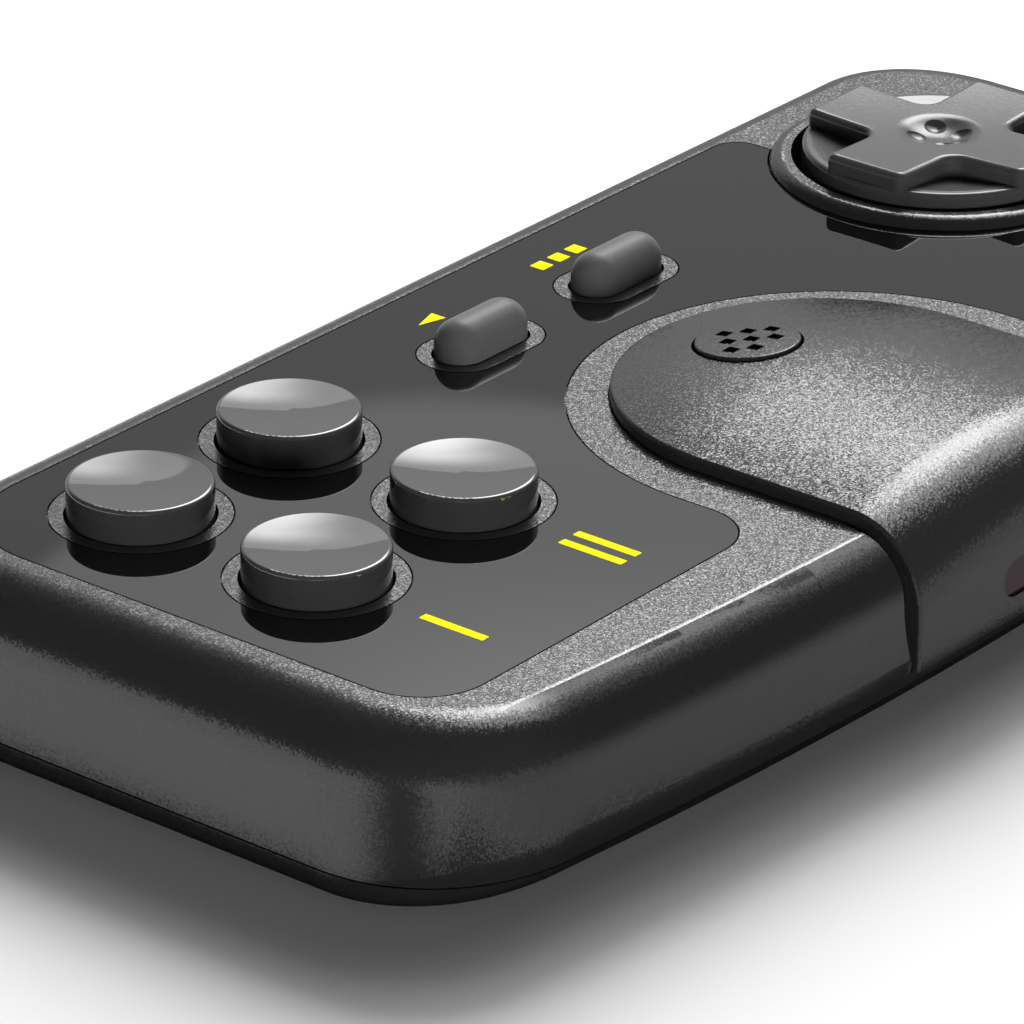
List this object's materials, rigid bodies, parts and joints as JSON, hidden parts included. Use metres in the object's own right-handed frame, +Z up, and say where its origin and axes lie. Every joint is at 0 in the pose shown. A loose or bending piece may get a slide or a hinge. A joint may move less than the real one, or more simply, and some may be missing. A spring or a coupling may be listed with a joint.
{
  "type": "gamepad",
  "caption": "Flat two-handed gamepad with a round direction pad, round action buttons on a glossy plate, pill buttons and a raised sliding battery cover.",
  "frame": {"origin": "centre of the bounding box, on the plane that the pad lies on", "axes": "+X towards the right hand, along the pad's length; +Y away from the player, towards the battery cover; +Z up"},
  "size_m": [0.144, 0.0672, 0.0198],
  "materials": {
    "casing_plastic": "fine-textured charcoal plastic",
    "plate_gloss": "mirror-gloss black plastic",
    "button_gloss": "semi-gloss dark grey plastic",
    "button_rubber": "satin dark grey rubber",
    "pad_plastic": "satin dark grey plastic",
    "pivot_steel": "plain bright steel",
    "window_dark": "dark clear plastic that passes infrared",
    "spring_rubber": "soft grey rubber",
    "membrane_rubber": "pale grey silicone",
    "contact_carbon": "carbon-filled rubber",
    "board_laminate": "green circuit laminate",
    "chip_resin": "black moulded resin",
    "component_body": "tan ceramic",
    "lamp_resin": "dark tinted resin",
    "pack_sleeve": "blue shrink sleeve",
    "contact_metal": "plain spring brass",
    "screw_steel": "dark zinc plate"
  },
  "bodies": {
    "casing": {"top_casing": "casing_plastic", "bottom_casing": "casing_plastic", "face_plate": "plate_gloss", "face_button_membrane": "membrane_rubber", "pill_button_membrane": "membrane_rubber", "dpad_membrane": "membrane_rubber", "main_board": "board_laminate", "control_chip": "chip_resin", "board_components": "component_body", "signal_lamps": "lamp_resin", "battery_pack": "pack_sleeve", "battery_contacts": "contact_metal", "casing_screws": "screw_steel"},
    "battery_cover": {"battery_cover": "casing_plastic", "signal_window": "window_dark", "release_spring": "spring_rubber"},
    "cover_release": {"cover_release": "casing_plastic"},
    "left_pill": {"left_pill_button": "button_rubber", "left_pill_contact": "contact_carbon"},
    "right_pill": {"right_pill_button": "button_rubber", "right_pill_contact": "contact_carbon"},
    "dpad_pivot": {"dpad_pivot_ball": "pivot_steel"},
    "dpad": {"dpad": "pad_plastic", "dpad_contacts": "contact_carbon"},
    "button_1": {"face_button_1": "button_gloss", "face_contact_1": "contact_carbon"},
    "button_2": {"face_button_2": "button_gloss", "face_contact_2": "contact_carbon"},
    "button_3": {"face_button_3": "button_gloss", "face_contact_3": "contact_carbon"},
    "button_4": {"face_button_4": "button_gloss", "face_contact_4": "contact_carbon"}
  },
  "joints": [
    {"name": "cover_slide", "type": "slide", "parent": "casing", "child": "battery_cover", "axis": [0, 1, 0], "range_m": [0, 0.036]},
    {"name": "release_press", "type": "slide", "parent": "battery_cover", "child": "cover_release", "axis": [0, 0, -1], "range_m": [0, 0.0004], "stiffness_N_per_m": 1500, "deforming": ["release_spring"]},
    {"name": "button_1_press", "type": "slide", "parent": "casing", "child": "button_1", "axis": [0, 0, -1], "range_m": [0, 0.0014], "stiffness_N_per_m": 600, "deforming": ["face_button_membrane"]},
    {"name": "button_2_press", "type": "slide", "parent": "casing", "child": "button_2", "axis": [0, 0, -1], "range_m": [0, 0.0014], "stiffness_N_per_m": 600, "deforming": ["face_button_membrane"]},
    {"name": "button_3_press", "type": "slide", "parent": "casing", "child": "button_3", "axis": [0, 0, -1], "range_m": [0, 0.0014], "stiffness_N_per_m": 600, "deforming": ["face_button_membrane"]},
    {"name": "button_4_press", "type": "slide", "parent": "casing", "child": "button_4", "axis": [0, 0, -1], "range_m": [0, 0.0014], "stiffness_N_per_m": 600, "deforming": ["face_button_membrane"]},
    {"name": "left_pill_press", "type": "slide", "parent": "casing", "child": "left_pill", "axis": [0, 0, -1], "range_m": [0, 0.0012], "stiffness_N_per_m": 700, "deforming": ["pill_button_membrane"]},
    {"name": "right_pill_press", "type": "slide", "parent": "casing", "child": "right_pill", "axis": [0, 0, -1], "range_m": [0, 0.0012], "stiffness_N_per_m": 700, "deforming": ["pill_button_membrane"]},
    {"name": "dpad_tilt_x", "type": "hinge", "parent": "casing", "child": "dpad_pivot", "pos_m": [-0.0478, -0.01195, 0.01], "axis": [1, 0, 0], "range_deg": [-4, 4], "stiffness_Nm_per_rad": 0.1, "deforming": ["dpad_membrane"]},
    {"name": "dpad_tilt_y", "type": "hinge", "parent": "dpad_pivot", "child": "dpad", "pos_m": [-0.0478, -0.01195, 0.01], "axis": [0, 1, 0], "range_deg": [-4, 4], "stiffness_Nm_per_rad": 0.1, "deforming": ["dpad_membrane"]}
  ]
}
